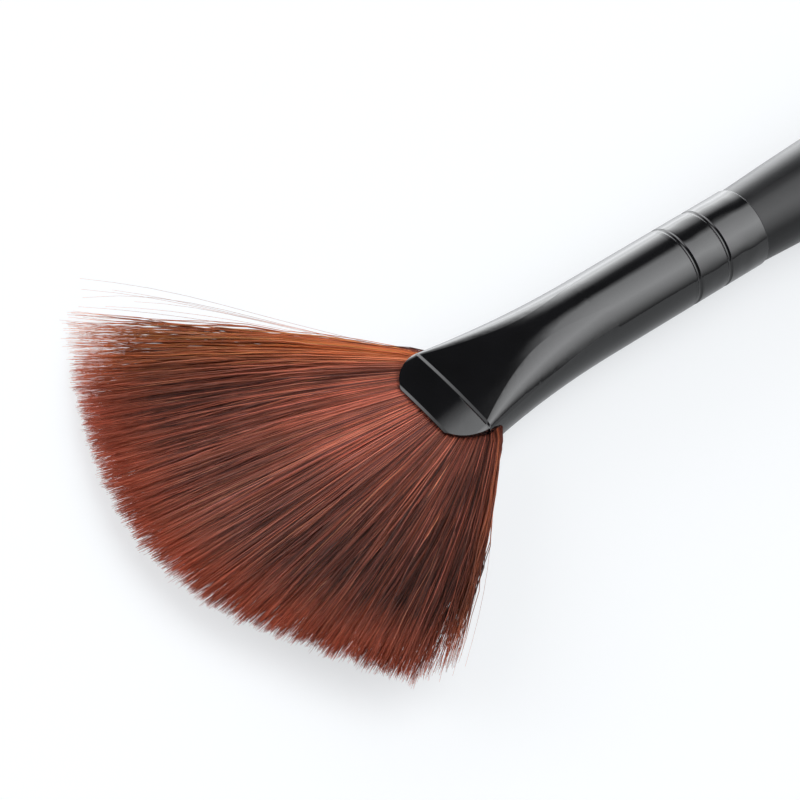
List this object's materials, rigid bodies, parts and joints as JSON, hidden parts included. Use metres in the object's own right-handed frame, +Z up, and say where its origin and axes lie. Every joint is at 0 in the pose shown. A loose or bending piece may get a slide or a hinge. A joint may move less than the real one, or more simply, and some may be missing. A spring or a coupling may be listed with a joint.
{
  "type": "fan makeup brush",
  "caption": "Fan makeup brush: a slim turned handle, a tube ferrule pressed flat at its mouth, and hair spread into a flat fan.",
  "frame": {"origin": "under the middle of the brush's box, on the surface it lies on", "axes": "+X along the brush towards the hair, +Z up through the flat of the fan"},
  "size_m": [0.1802, 0.0558, 0.0104],
  "materials": {
    "handle_lacquer": "satin black lacquer on turned wood",
    "ferrule_finish": "gloss black lacquered aluminium",
    "glue": "set adhesive",
    "hair": "fine reddish brown hair, streaked"
  },
  "bodies": {
    "root": {"handle": "handle_lacquer", "ferrule": "ferrule_finish", "glue_plug": "glue", "bristle_tuft": "hair"}
  },
  "joints": []
}
